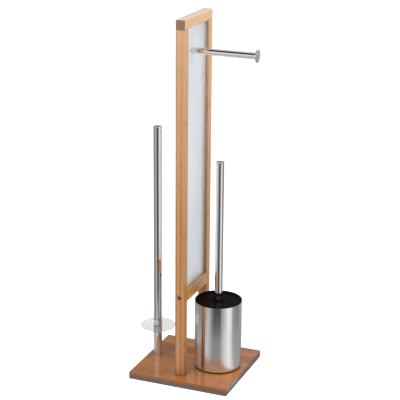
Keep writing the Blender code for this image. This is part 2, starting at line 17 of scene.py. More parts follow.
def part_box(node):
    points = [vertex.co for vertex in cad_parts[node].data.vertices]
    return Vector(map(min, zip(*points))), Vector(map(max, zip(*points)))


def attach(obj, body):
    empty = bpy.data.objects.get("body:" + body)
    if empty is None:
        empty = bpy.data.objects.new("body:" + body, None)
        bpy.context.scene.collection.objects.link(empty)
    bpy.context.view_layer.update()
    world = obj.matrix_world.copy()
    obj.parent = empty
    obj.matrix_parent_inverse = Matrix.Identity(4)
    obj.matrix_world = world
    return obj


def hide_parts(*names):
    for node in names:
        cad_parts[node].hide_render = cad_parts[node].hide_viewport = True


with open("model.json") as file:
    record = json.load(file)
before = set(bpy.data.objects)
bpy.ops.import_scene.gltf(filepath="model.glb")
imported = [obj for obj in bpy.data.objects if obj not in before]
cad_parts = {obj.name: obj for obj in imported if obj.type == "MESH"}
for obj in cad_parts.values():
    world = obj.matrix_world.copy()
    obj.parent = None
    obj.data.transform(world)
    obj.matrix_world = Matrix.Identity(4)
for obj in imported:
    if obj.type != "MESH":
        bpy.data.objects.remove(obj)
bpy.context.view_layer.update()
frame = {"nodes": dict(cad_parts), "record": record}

# Camera: a long lens, in front, to the right and above
CAMERA_PLACE = (0.88691, -2.19823, 1.12156)
CAMERA_PITCH = 18.113
CAMERA_YAW = 21.842
CAMERA_ROLL = 0.476
CAMERA_LENS = 119.1

# How finely turned pieces are divided
MEDIUM = 72
FINE = 128
FINEST = 160

# Small sizes that the pieces' boxes don't give
GAP = 0.0003
STUD_HOLE = 0.0033
ARM_PLUG = 0.0035
TUBE_WALL = 0.001
HANDLE_WALL = 0.0008
CAP_STEP = 0.0014
COLLAR_RECESS = 0.0087
COLLAR_RECESS_DEPTH = 0.0006
CUP_WALL = 0.0008
FOOT_RING_INSIDE = 0.036
LINER_WALL = 0.0015
LINER_FOOT = 0.0365
LINER_NECK = 0.0382
LINER_MOUTH = 0.0402
LINER_COLLAR_PLAY = 0.0012
LINER_RIM_HEIGHT = 0.0012
LINER_TAB = (0.0040, 0.0060, 0.0018)
LINER_TAB_TURN = -79
LID_THICKNESS = 0.0026
LID_DISH = 0.0010
STEM_RADIUS = 0.0045
STEM_STUD = 0.003

# The brush
CORE_RADIUS = 0.0095
TUFT_ROWS = 13
TUFTS_PER_ROW = 18
BRISTLES_PER_TUFT = 9
BRISTLE_RADIUS = 0.00042
# Rings of tufts under the core: radius, number of tufts, how steeply they point down
LOWER_TUFTS = [(0.0085, 14, 0.75), (0.0055, 9, 1.6), (0.002, 5, 5.0)]

# Turned outlines: an extra point this far past a fillet, and the least length that counts
HOLD = 0.0003
LEAST = 1e-6

# The stage
FLOOR_WIDTH = 14.0
REFLECTED_WIDTH = 30.0
REFLECTED_HEIGHT = -0.004

# What polished steel sees low around the set, by direction: degrees from +X, brightness near
# the cup, brightness further out
AROUND = [
    (-180, 0.45, 0.30),
    (-145, 0.52, 0.30),
    (-133, 0.80, 0.45),
    (-112, 0.66, 0.60),
    (-100, 0.44, 0.28),
    (-88, 0.33, 0.07),
    (-62, 0.37, 0.06),
    (-50, 0.64, 0.45),
    (-36, 0.88, 0.70),
    (-22, 1.05, 1.10),
    (-9, 0.80, 1.00),
    (3, 0.46, 0.38),
    (28, 0.41, 0.26),
    (66, 0.37, 0.45),
    (110, 0.60, 0.70),
    (144, 0.30, 0.35),
    (180, 0.45, 0.30),
]
NEAR_ENDS = 0.24
FAR_STARTS = 0.33


# ---------------------------------------------------------------- node helpers


def grey(value):
    return (value, value, value)


def scaled(colour, share):
    return tuple(part * share for part in colour)


def opaque(colour):
    return (*colour, 1.0)


class Nodes:
    """Adds and links the shader nodes of one node tree."""

    def __init__(self, tree):
        self.tree = tree

    def add(self, kind, inputs=None, **settings):
        node = self.tree.nodes.new("ShaderNode" + kind)
        for name, value in settings.items():
            setattr(node, name, value)
        for key, value in (inputs or {}).items():
            self.feed(node.inputs[key], value)
        return node

    def feed(self, socket, value):
        """Links another node's output to a socket, or sets the socket's own value."""
        if isinstance(value, bpy.types.NodeSocket):
            self.tree.links.new(value, socket)
        else:
            socket.default_value = value

    def math(self, operation, a, b=0.0):
        return self.add("Math", {0: a, 1: b}, operation=operation).outputs[0]

    def mix(self, share, a, b):
        node = self.add("Mix", data_type="RGBA")
        self.feed(node.inputs["Factor"], share)
        self.feed(node.inputs["A"], a)
        self.feed(node.inputs["B"], b)
        return node.outputs["Result"]

    def ramp(self, value, stops, interpolation="LINEAR"):
        """A colour ramp: each stop is a place from 0 to 1 and a colour."""
        node = self.add("ValToRGB", {"Fac": value})
        ramp = node.color_ramp
        ramp.interpolation = interpolation
        while len(ramp.elements) < len(stops):
            ramp.elements.new(0.5)
        for element, (place, colour) in zip(ramp.elements, stops):
            element.position = place
            element.color = opaque(colour)
        return node.outputs["Color"]

    def mask(self, value, starts, ends):
        """0 up to where it starts, 1 from where it ends."""
        return self.ramp(value, [(starts, grey(0.0)), (ends, grey(1.0))])

    def noise(self, vector, scale, detail=3.0, roughness=0.5):
        inputs = {"Vector": vector, "Scale": scale, "Detail": detail, "Roughness": roughness}
        return self.add("TexNoise", inputs).outputs["Fac"]

    def span(self, value, low, high):
        """Maps 0..1 to low..high."""
        node = self.add("MapRange", {"Value": value, "To Min": low, "To Max": high})
        return node.outputs["Result"]

    def rise(self, value, low, high):
        """Maps low..high to 0..1."""
        node = self.add("MapRange", {"Value": value, "From Min": low, "From Max": high})
        return node.outputs["Result"]

    def place(self):
        """The point on the surface; the pieces sit at the origin, so this is in metres."""
        return self.add("TexCoord").outputs["Object"]

    def parts(self, vector):
        return self.add("SeparateXYZ", {"Vector": vector}).outputs

    def stretched(self, vector, scale):
        return self.add("Mapping", {"Vector": vector, "Scale": scale}).outputs["Vector"]


class Shader(Nodes):
    """The nodes of a new material round its Principled BSDF."""

    def __init__(self, name):
        self.material = bpy.data.materials.new(name)
        self.material.use_nodes = True
        super().__init__(self.material.node_tree)
        self.surface = self.tree.nodes["Principled BSDF"]

    def set(self, **inputs):
        for name, value in inputs.items():
            self.feed(self.surface.inputs[name.replace("_", " ")], value)

    def bump(self, height, strength, distance):
        node = self.add("Bump", {"Height": height, "Strength": strength, "Distance": distance})
        self.set(Normal=node.outputs["Normal"])


# ---------------------------------------------------------------- bamboo

# For each direction of the grain: across the strips, through the layers, along the grain
GRAIN = {"X": (1, 2, 0), "Y": (0, 2, 1), "Z": (0, 1, 2)}
STRIP_START = 0.0045
LAYER = 0.019
KNUCKLE_DISTANCE = 0.215
# Painted light: the pale tone that the frame is mixed towards near its top, for the light from above
TOP_LIGHT_TONE = (0.74, 0.56, 0.38)
# Painted sheen: the pale tone that a rail's top is mixed towards where it faces up
PAINTED_SHEEN_TONE = (0.66, 0.60, 0.53)


def strip_tone(s, side, other, strip):
    """One random number for each glued strip."""
    strip_number = s.math("FLOOR", s.math("DIVIDE", side, strip))
    layer_number = s.math("FLOOR", s.math("DIVIDE", other, LAYER))
    key = s.math("ADD", strip_number, s.math("MULTIPLY", layer_number, 7.31))
    return s.add("TexWhiteNoise", {"W": key}, noise_dimensions="1D").outputs["Value"]


def knuckles(s, grain, tone):
    """A narrow band across each strip, at its own height."""
    run = s.math("ADD", s.math("DIVIDE", grain, KNUCKLE_DISTANCE), s.math("MULTIPLY", tone, 5.7))
    away = s.math("ABSOLUTE", s.math("SUBTRACT", s.math("FRACT", run), 0.5))
    return s.ramp(away, [(0.0, grey(1.0)), (0.006, grey(0.75)), (0.013, grey(0.0))])


def glue_lines(s, side, strip):
    in_strip = s.math("FRACT", s.math("DIVIDE", side, strip))
    from_middle = s.math("ABSOLUTE", s.math("SUBTRACT", in_strip, 0.5))
    return s.mask(from_middle, 0.475, 0.497)


def bamboo(name, along, light, dark, strip=0.006, coat=0.35, coat_roughness=0.12, coat_ior=1.5,
           end=(0.225, 0.124, 0.072), painted_side_shade=0.0, painted_top_sheen=0.0, painted_light_high=0.0, specular=0.35):
    """Glued bamboo strips with fibres and knuckles along one axis, under a clear lacquer."""
    s = Shader(name)
    place = s.parts(s.place())
    side, other, grain = (place[i] for i in GRAIN[along])
    side = s.math("ADD", side, STRIP_START)
    tone = strip_tone(s, side, other, strip)

    slow_grain = s.math("ADD", s.math("MULTIPLY", grain, 0.02), s.math("MULTIPLY", tone, 3.0))
    along_fibres = s.add("CombineXYZ", {0: side, 1: other, 2: slow_grain}).outputs[0]
    fibres = s.noise(along_fibres, 1500.0, 4.0, 0.65)
    bands = s.noise(along_fibres, 180.0, 3.0, 0.55)
    patches = s.noise(s.stretched(s.place(), (9.0, 9.0, 9.0)), 1.0, 2.0)

    shade = opaque(scaled(dark, 0.62))
    warm = opaque((light[0] * 1.06, light[1] * 0.84, light[2] * 0.58))
    colour = s.mix(s.span(tone, 0.0, 1.0), opaque(light), opaque(dark))
    colour = s.mix(s.math("MULTIPLY", s.mask(fibres, 0.40, 0.72), 0.45), colour, shade)
    colour = s.mix(s.math("MULTIPLY", s.mask(bands, 0.42, 0.66), 0.60), colour, warm)
    colour = s.mix(s.math("MULTIPLY", patches, 0.30), colour, shade)

    knuckle = knuckles(s, grain, tone)
    colour = s.mix(s.math("MULTIPLY", knuckle, 0.45), colour, shade)
    glue = glue_lines(s, side, strip)
    colour = s.mix(s.math("MULTIPLY", glue, 0.35), colour, shade)

    # Paler towards the top of the frame: painted light, standing in for the light falling from above
    painted_light_share = s.math("MULTIPLY", s.rise(place["Z"], 0.30, 0.68), painted_light_high)
    colour = s.mix(painted_light_share, colour, opaque(TOP_LIGHT_TONE))

    # End grain: dark dots of the fibre bundles
    normal = s.parts(s.add("TexCoord").outputs["Normal"])
    is_end = s.mask(s.math("ABSOLUTE", normal[GRAIN[along][2]]), 0.80, 0.95)
    dots = s.add("TexVoronoi", {"Vector": s.place(), "Scale": 1100.0}).outputs["Distance"]
    colour = s.mix(is_end, colour, s.ramp(dots, [(0.20, scaled(end, 0.6)), (0.45, end)]))

    # A board's upright sides are darkened: painted shade, standing in for the shadow along its edges
    upright = s.ramp(s.math("ABSOLUTE", normal["Z"]), [(0.3, grey(1.0)), (0.8, grey(0.0))])
    colour = s.mix(s.math("MULTIPLY", upright, painted_side_shade), colour, shade)
    # A rail's top is painted paler where it faces up: a painted sheen, standing in for the lacquer's
    # reflection seen at a grazing angle
    upward = s.mask(normal["Z"], 0.8, 0.97)
    colour = s.mix(s.math("MULTIPLY", upward, painted_top_sheen), colour, opaque(PAINTED_SHEEN_TONE))

    s.set(Base_Color=colour, Roughness=s.span(bands, 0.30, 0.42), Specular_IOR_Level=specular)
    s.set(Coat_Weight=coat, Coat_Roughness=coat_roughness, Coat_IOR=coat_ior)
    height = s.math("ADD", s.math("MULTIPLY", fibres, 0.6), s.math("MULTIPLY", knuckle, 1.2))
    height = s.math("SUBTRACT", height, s.math("MULTIPLY", glue, 0.7))
    s.bump(height, 0.25, 0.00012)
    return s.material


# ---------------------------------------------------------------- other materials


def beech(name):
    """Raw beech with short flecks along Z."""
    s = Shader(name)
    flecks = s.noise(s.stretched(s.place(), (1.0, 1.0, 0.05)), 900.0, 4.0)
    colour = s.ramp(flecks, [(0.3, (0.60, 0.40, 0.23)), (0.7, (0.76, 0.57, 0.37))])
    s.set(Base_Color=colour, Roughness=0.6)
    s.bump(flecks, 0.3, 0.0001)
    return s.material


def frosted_glass(name):
    """Etched glass: a rough, faintly blue sheet with a fine grain, a little greyer low down."""
    s = Shader(name)
    clouds = s.noise(s.place(), 14.0, 2.0)
    grain = s.noise(s.place(), 2600.0, 2.0)
    rise = s.rise(s.parts(s.place())["Z"], 0.18, 0.45)
    cloudy = s.ramp(clouds, [(0.3, (0.87, 0.905, 0.935)), (0.7, (0.90, 0.925, 0.955))])
    colour = s.mix(rise, opaque((0.76, 0.80, 0.84)), cloudy)
    s.set(Base_Color=colour, Roughness=s.span(grain, 0.38, 0.52), IOR=1.5)
    s.set(Transmission_Weight=0.82, Specular_IOR_Level=0.5)
    s.set(Coat_Weight=0.6, Coat_Roughness=0.10, Coat_IOR=1.5)
    s.bump(grain, 0.12, 0.00005)
    return s.material


def clear_plastic(name):
    """Clear acrylic with a slightly grey-green body."""
    s = Shader(name)
    haze = s.noise(s.place(), 40.0, 2.0)
    colour = s.ramp(haze, [(0.3, (0.65, 0.67, 0.655)), (0.7, (0.68, 0.70, 0.685))])
    s.set(Base_Color=colour, Roughness=s.span(haze, 0.01, 0.03), IOR=1.06)
    s.set(Transmission_Weight=0.75)
    return s.material


def polished_steel(name, roughness, colour=(0.81, 0.805, 0.79), brushed=0.0):
    """Stainless steel with fine lines round its own upright axis and faint smudges."""
    s = Shader(name)
    lines = s.noise(s.stretched(s.place(), (0.01, 0.01, 1.0)), 3000.0, 3.0, 0.6)
    smudges = s.noise(s.place(), 26.0, 3.0)
    tint = s.ramp(lines, [(0.35, scaled(colour, 0.96)), (0.65, colour)])
    smudged = s.span(smudges, roughness * 0.75, roughness * 1.3)
    rough = s.math("ADD", smudged, s.math("MULTIPLY", lines, 0.02))
    s.set(Base_Color=tint, Metallic=1.0, Roughness=rough)
    if brushed:
        tangent = s.add("Tangent", direction_type="RADIAL", axis="Z")
        s.set(Anisotropic=brushed, Anisotropic_Rotation=0.25, Tangent=tangent.outputs["Tangent"])
    return s.material


def turned_steel(name, colour=(0.50, 0.46, 0.38)):
    """Plated screws and bushes with turning marks."""
    s = Shader(name)
    marks = s.noise(s.stretched(s.place(), (0.2, 0.2, 1.0)), 3500.0, 2.0)
    stains = s.noise(s.place(), 300.0, 3.0)
    tint = s.ramp(stains, [(0.35, scaled(colour, 0.7)), (0.65, colour)])
    s.set(Base_Color=tint, Metallic=1.0, Roughness=s.span(marks, 0.22, 0.40))
    s.bump(marks, 0.3, 0.00004)
    return s.material


def powder_coat(name, colour=(0.108, 0.096, 0.083)):
    """Grey coating with an orange-peel surface and a fine speckle."""
    s = Shader(name)
    peel = s.noise(s.place(), 900.0, 3.0)
    speckle = s.noise(s.place(), 3200.0, 2.0)
    tint = s.ramp(speckle, [(0.35, scaled(colour, 0.75)), (0.65, scaled(colour, 1.2))])
    s.set(Base_Color=tint, Roughness=s.span(peel, 0.45, 0.6), Metallic=0.0)
    s.bump(peel, 0.4, 0.00008)
    return s.material


def foam(name):
    """Dark closed-cell foam."""
    s = Shader(name)
    cells = s.add("TexVoronoi", {"Vector": s.place(), "Scale": 1500.0}).outputs["Distance"]
    tint = s.ramp(cells, [(0.1, (0.075, 0.07, 0.065)), (0.6, (0.12, 0.11, 0.10))])
    s.set(Base_Color=tint, Roughness=0.9)
    s.bump(cells, 0.5, 0.0001)
    return s.material


def black_plastic(name, roughness=0.16):
    """Deep black moulded plastic with a faint ripple and fine scratches."""
    s = Shader(name)
    ripple = s.noise(s.place(), 90.0, 2.0)
    scratches = s.noise(s.stretched(s.place(), (1.0, 0.08, 1.0)), 2600.0, 2.0)
    tint = s.ramp(ripple, [(0.3, grey(0.002)), (0.7, grey(0.004))])
    rippled = s.span(ripple, roughness * 0.8, roughness * 1.2)
    rough = s.math("ADD", rippled, s.math("MULTIPLY", scratches, 0.05))
    s.set(Base_Color=tint, Roughness=rough, Specular_IOR_Level=0.015)
    s.bump(ripple, 0.05, 0.0002)
    return s.material


def nylon(name, colour=(0.80, 0.80, 0.77)):
    """White nylon that lets a little light in."""
    s = Shader(name)
    mottle = s.noise(s.place(), 700.0, 2.0)
    tint = s.ramp(mottle, [(0.3, scaled(colour, 0.9)), (0.7, colour)])
    s.set(Base_Color=tint, Roughness=s.span(mottle, 0.4, 0.55))
    s.set(Subsurface_Weight=0.15, Subsurface_Radius=grey(0.002), Subsurface_Scale=1.0)
    return s.material


# ---------------------------------------------------------------- mesh helpers


def fillet_reach(radius, before, after):
    """How far a round edge takes up the two sides of a corner."""
    turn = before.angle(after)
    if radius <= 0 or turn >= pi - 0.01:
        return 0.0
    return min(radius / max(0.05, tan(turn / 2)), 0.45 * before.length, 0.45 * after.length)


def filleted(outline, radius, steps=5):
    """Rounds the corners of an outline: each point is (r, z) or (r, z, own radius)."""
    rounded = []
    for i, corner in enumerate(outline):
        here = Vector(corner[:2])
        before = Vector(outline[i - 1][:2]) - here
        after = Vector(outline[(i + 1) % len(outline)][:2]) - here
        own = corner[2] if len(corner) > 2 else radius
        on_axis = here.x < LEAST
        reach = 0.0 if on_axis else fillet_reach(own, before, after)
        if reach < LEAST:
            rounded.append(tuple(here))
            continue
        start = here + before.normalized() * reach
        end = here + after.normalized() * reach
        # One more point on each long side keeps the flat next to a round edge flat in shading
        hold = reach + HOLD
        if before.length > 2.5 * hold:
            rounded.append(tuple(here + before.normalized() * hold))
        for k in range(steps + 1):
            t = k / steps
            rounded.append(tuple(start * (1 - t) ** 2 + here * 2 * t * (1 - t) + end * t**2))
        if after.length > 2.5 * hold:
            rounded.append(tuple(here + after.normalized() * hold))
    return rounded


def new_piece(name, shape, material, body, smooth=30):
    """Makes an object of a bmesh, smooth below an angle, and lets it ride on a body."""
    bmesh.ops.recalc_face_normals(shape, faces=shape.faces)
    mesh = bpy.data.meshes.new(name)
    shape.to_mesh(mesh)
    shape.free()
    mesh.shade_smooth()
    mesh.set_sharp_from_angle(angle=radians(smooth))
    piece = bpy.data.objects.new(name, mesh)
    bpy.context.scene.collection.objects.link(piece)
    mesh.materials.append(material)
    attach(piece, body)
    return piece


def turned(name, outline, node, material, segments=MEDIUM, axis="Z"):
    """Turns an outline about the CAD node's own axis and lets the piece stand for the node.

    Heights run along the axis, Z or X, in the frame's coordinates.
    """
    low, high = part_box(node)
    centre = (low + high) / 2
    shape = bmesh.new()
    points = [shape.verts.new((r, 0.0, z)) for r, z in outline]
    edges = [shape.edges.new(pair) for pair in zip(points, points[1:] + points[:1])]
    bmesh.ops.spin(shape, geom=points + edges, cent=(0, 0, 0), axis=(0, 0, 1), angle=2 * pi,
                   steps=segments)
    bmesh.ops.remove_doubles(shape, verts=shape.verts, dist=LEAST)
    loose = [edge for edge in shape.edges if not edge.link_faces]
    bmesh.ops.delete(shape, geom=loose, context="EDGES")
    if axis == "Z":
        move = Matrix.Translation((centre.x, centre.y, 0))
    else:
        move = Matrix.Translation((0, centre.y, centre.z)) @ Matrix.Rotation(pi / 2, 4, "Y")
    bmesh.ops.transform(shape, matrix=move, verts=shape.verts)
    piece = new_piece(name, shape, material, body_of(node))
    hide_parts(node)


def body_of(node):
    for body, members in frame["record"]["behaviour"]["bodies"].items():
        if node in members:
            return body


def radius_of(node):
    """The radius of a round node whose axis is X or Z."""
    low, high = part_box(node)
    return (high.y - low.y) / 2


def coat(node, material):
    """Gives a CAD node that keeps its own shape a material."""
    slots = frame["nodes"][node].data.materials
    slots.clear()
    slots.append(material)


def coat_all(nodes, material):
    for node in nodes:
        coat(node, material)


# ---------------------------------------------------------------- pieces that keep their CAD shape


def dress_wood():
    post = bamboo("bamboo_post", "Z", (0.530, 0.262, 0.096), (0.245, 0.090, 0.026), painted_light_high=0.30)
    rail = bamboo("bamboo_rail", "Y", (0.740, 0.390, 0.140), (0.480, 0.220, 0.070))
    top = bamboo("bamboo_top_rail", "Y", (0.800, 0.480, 0.220), (0.620, 0.330, 0.130), coat=1.0,
                 coat_ior=1.8, end=(0.20, 0.100, 0.052), painted_top_sheen=0.8, painted_light_high=0.2)
    board = bamboo("bamboo_board", "X", (0.520, 0.205, 0.054), (0.250, 0.085, 0.021), strip=0.016,
                   coat=1.0, coat_roughness=0.04, end=(0.17, 0.085, 0.045), painted_side_shade=0.7,
                   specular=0.10)
    coat_all(["front_post", "rear_post"], post)
    coat("bottom_rail", rail)
    coat("top_rail", top)
    coat("base_board", board)
    coat_all(["front_post_dowel", "rear_post_dowel"], beech("beech_dowel"))


def dress_flat_pieces():
    coat("glass_panel", frosted_glass("etched_glass"))
    coat("weight_plate", powder_coat("grey_powder_coat"))
    coat("anti_slip_mat", foam("black_foam"))


def dress_fixings():
    hidden = ["front_post_screw", "rear_post_screw", "spare_rod_screw", "spare_rod_foot_bush",
              "lower_tube_bush", "upper_tube_bush", "disc_stud"]
    coat_all(hidden, turned_steel("zinc_plated_steel"))
    coat_all(["rail_screw_front", "rail_screw_rear"], turned_steel("bronzed_screw", (0.36, 0.22, 0.13)))
    coat_all(["arm_front_washer", "arm_back_washer"], nylon("white_nylon"))


# ---------------------------------------------------------------- turned pieces


def make_arm(steel):
    """The arm's bar, its flared end button and the round-headed screw behind the glass."""
    rod_low, rod_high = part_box("arm_rod")
    radius = radius_of("arm_rod")
    outline = [(0, rod_low.x), (radius, rod_low.x), (radius, rod_high.x), (0, rod_high.x)]
    turned("arm_bar", filleted(outline, 0.0005), "arm_rod", steel, axis="X")

    low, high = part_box("arm_end_cap")
    cap_radius = radius_of("arm_end_cap")
    face = high.x
    back = rod_high.x + GAP
    outline = [
        (0, low.x),
        (ARM_PLUG, low.x),
        (ARM_PLUG, back),
        (radius, back),
        (radius + 0.0020, back + 0.0007, 0.0015),
        (cap_radius - 0.0004, back + 0.0012, 0.0008),
        (cap_radius, back + 0.0018, 0.0005),
        (cap_radius, face - 0.0008, 0.0007),
        (cap_radius - 0.0022, face, 0.002),
        (0, face),
    ]
    turned("arm_end_button", filleted(outline, 0.0004), "arm_end_cap", steel,
           FINE, "X")

    low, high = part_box("arm_screw")
    head = radius_of("arm_screw")
    head_height = 0.0028
    shank = 0.0025
    driver_radius = 0.0016
    driver_depth = 0.0010
    outline = [
        (0, low.x + driver_depth),
        (driver_radius, low.x + driver_depth),
        (driver_radius + 0.0001, low.x, 0.0002),
        (head - 0.0012, low.x + 0.0004, 0.0008),
        (head, low.x + 0.0016, 0.0008),
        (head, low.x + head_height),
        (shank, low.x + head_height),
        (shank, high.x),
        (0, high.x),
    ]
    turned("arm_back_screw", filleted(outline, 0.0002), "arm_screw", steel, axis="X")


def tube(name, node, steel, wall=TUBE_WALL):
    """A tube with slightly rounded ends."""
    low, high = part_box(node)
    radius = radius_of(node)
    inside = radius - wall
    outline = [(inside, low.z), (radius, low.z), (radius, high.z), (inside, high.z)]
    turned(name, filleted(outline, 0.0003, 3), node, steel)


def end_cap(name, node, thickness, steel):
    """A flat cap with a round edge, on a plug that sits in the tube."""
    low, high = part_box(node)
    radius = radius_of(node)
    plug = radius - CAP_STEP
    under = high.z - thickness
    outline = [
        (0, low.z),
        (plug, low.z),
        (plug, under),
        (radius, under),
        (radius, high.z - 0.0002, 0.0009),
        (radius - 0.0025, high.z, 0.002),
        (0, high.z),
    ]
    turned(name, filleted(outline, 0.0002), node, steel)


def make_spare_rod(steel, collar_steel):
    """The rod's tubes, cap and collars, and the clear disc with a recess for each collar."""
    tube("spare_rod_lower", "spare_rod_lower_tube", steel)
    tube("spare_rod_upper", "spare_rod_upper_tube", steel)
    end_cap("spare_rod_end", "spare_rod_cap", 0.002, steel)
    for name, node in (("lower_collar", "disc_lower_collar"), ("upper_collar", "disc_upper_collar")):
        low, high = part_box(node)
        radius = radius_of(node)
        outline = [(STUD_HOLE, low.z), (radius, low.z), (radius, high.z), (STUD_HOLE, high.z)]
        turned(name, filleted(outline, 0.0006), node, collar_steel)
    low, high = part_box("spare_roll_disc")
    radius = radius_of("spare_roll_disc")
    web_low = low.z + COLLAR_RECESS_DEPTH
    web_high = high.z - COLLAR_RECESS_DEPTH
    outline = [
        (STUD_HOLE, web_low),
        (COLLAR_RECESS, web_low, 0),
        (COLLAR_RECESS, low.z, 0.0002),
        (radius, low.z),
        (radius, high.z),
        (COLLAR_RECESS, high.z, 0.0002),
        (COLLAR_RECESS, web_high, 0),
        (STUD_HOLE, web_high),
    ]
    acrylic = clear_plastic("clear_acrylic")
    turned("clear_disc", filleted(outline, 0.0009), "spare_roll_disc", acrylic, FINE)


def make_cup(steel, black):
    """The drawn steel cup and the black ring that it stands on."""
    low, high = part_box("cup_shell")
    radius = radius_of("cup_shell")
    inside = radius - CUP_WALL
    outline = [
        (0, low.z),
        (radius, low.z, 0.0018),
        (radius, high.z, 0.0003),
        (inside, high.z, 0.0003),
        (inside, low.z + CUP_WALL, 0.0012),
        (0, low.z + CUP_WALL),
    ]
    turned("steel_cup", filleted(outline, 0.0005, 6), "cup_shell", steel, FINEST)
    low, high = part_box("cup_foot_ring")
    outer = radius_of("cup_foot_ring")
    outline = [
        (FOOT_RING_INSIDE, low.z),
        (outer, low.z),
        (outer, high.z),
        (FOOT_RING_INSIDE, high.z),
    ]
    turned("cup_foot", filleted(outline, 0.0004), "cup_foot_ring", black, FINE)


def make_liner(black):
    """The liner: a bucket with a collar inside the cup, a rim over its edge and the lid's ledge."""
    low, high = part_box("cup_liner")
    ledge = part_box("brush_lid")[0].z - GAP
    rim = radius_of("cup_liner")
    collar = radius_of("cup_shell") - LINER_COLLAR_PLAY
    rim_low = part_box("cup_shell")[1].z + GAP
    rim_top = rim_low + LINER_RIM_HEIGHT
    outline = [
        (0, low.z),
        (LINER_FOOT + LINER_WALL, low.z, 0.003),
        (LINER_NECK + LINER_WALL, ledge - 0.0065, 0.002),
        (collar, ledge - 0.0035, 0.001),
        (collar, rim_low, 0.0001),
        (rim, rim_low, 0.0003),
        (rim, rim_top, 0.0009),
        (LINER_MOUTH, rim_top, 0.0006),
        (LINER_MOUTH, ledge, 0.0004),
        (LINER_NECK, ledge, 0.0006),
        (LINER_FOOT, low.z + LINER_WALL, 0.004),
        (0, low.z + LINER_WALL),
    ]
    turned("liner_bucket", filleted(outline, 0.0005, 6), "cup_liner", black, FINEST)

    # The small tab on the rim, at the front
    centre = (low + high) / 2
    angle = radians(LINER_TAB_TURN)
    middle = (rim + LINER_MOUTH) / 2
    shape = bmesh.new()
    bmesh.ops.create_cube(shape, size=1.0)
    bmesh.ops.scale(shape, vec=LINER_TAB, verts=shape.verts)
    bmesh.ops.bevel(shape, geom=shape.edges[:], offset=0.0005, segments=3, affect="EDGES")
    place = Vector((centre.x + middle * cos(angle), centre.y + middle * sin(angle), rim_top + GAP))
    turn = Matrix.Rotation(angle, 4, "Z")
    bmesh.ops.transform(shape, matrix=Matrix.Translation(place) @ turn, verts=shape.verts)
    tab = new_piece("liner_tab", shape, black_plastic("tab_plastic", 0.35), "liner")


def make_brush(steel, black):
    """The dished lid with its low boss, the handle, the stem and the brush head."""
    low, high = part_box("brush_lid")
    radius = radius_of("brush_lid")
    top = low.z + LID_THICKNESS
    dish = top - LID_DISH
    shoulder = low.z - GAP
    outline = [
        (STUD_HOLE, low.z),
        (radius, low.z, 0.0005),
        (radius, top, 0.0008),
        (radius - 0.0030, top, 0.0006),
        (radius - 0.0042, dish, 0.001),
        (0.0128, dish, 0.001),
        (0.0106, high.z - 0.0008, 0.0008),
        (0.0098, high.z, 0.0006),
        (STUD_HOLE, high.z),
    ]
    turned("lid", filleted(outline, 0.0003, 6), "brush_lid", black, FINEST)
    tube("handle", "handle_tube", steel, HANDLE_WALL)
    end_cap("handle_top", "handle_end_cap", 0.0026, steel)
    low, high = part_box("brush_stem")
    outline = [
        (0, low.z),
        (STEM_RADIUS, low.z),
        (STEM_RADIUS, shoulder),
        (STEM_STUD, shoulder),
        (STEM_STUD, high.z),
        (0, high.z),
    ]
    turned("stem", filleted(outline, 0.0003, 3), "brush_stem", black)
    coat_all(["handle_bush", "brush_head_core"], black)
    make_bristles()


# ---------------------------------------------------------------- bristles


def add_bristle(shape, rng, root, tip):
    """One three-sided bristle from root to tip, thinner at the tip and with a bent middle."""
    along = (tip - root).normalized()
    side = along.cross(Vector((0, 0, 1)))
    side = side.normalized() if side.length > 0.01 else Vector((1, 0, 0))
    up = side.cross(along)
    sag = up * rng.uniform(-0.0006, 0.0006) + side * rng.uniform(-0.0006, 0.0006)
    rings = []
    for place, share in [(root, 1.0), ((root + tip) / 2 + sag, 0.95), (tip, 0.6)]:
        ring = []
        for k in range(3):
            turn = 2 * pi * k / 3
            out = side * cos(turn) + up * sin(turn)
            ring.append(shape.verts.new(place + out * BRISTLE_RADIUS * share))
        rings.append(ring)
    for a, b in zip(rings, rings[1:]):
        for k in range(3):
            after = (k + 1) % 3
            shape.faces.new((a[k], a[after], b[after], b[k]))
    shape.faces.new(rings[0][::-1])
    shape.faces.new(rings[-1])


def add_tuft(shape, rng, head, root, direction, length, spread):
    """A tuft whose bristles fan out a little and end on the trimmed outline of the head's box."""
    low, high = head
    centre = (low + high) / 2
    outermost = (high.y - low.y) / 2 - 0.0006
    for _ in range(BRISTLES_PER_TUFT):
        jitter = Vector([rng.uniform(-1, 1) for _ in range(3)])
        start = root + jitter * 0.0009
        tip = root + direction * length * rng.uniform(0.96, 1.0) + jitter * spread
        axis = Vector((centre.x, centre.y, tip.z))
        off = tip - axis
        if off.length > outermost:
            tip = axis + off.normalized() * outermost
        tip.z = min(max(tip.z, low.z + 0.0004), high.z - 0.0006)
        start.z = min(max(start.z, low.z + 0.006), high.z - 0.001)
        add_bristle(shape, rng, start, tip)


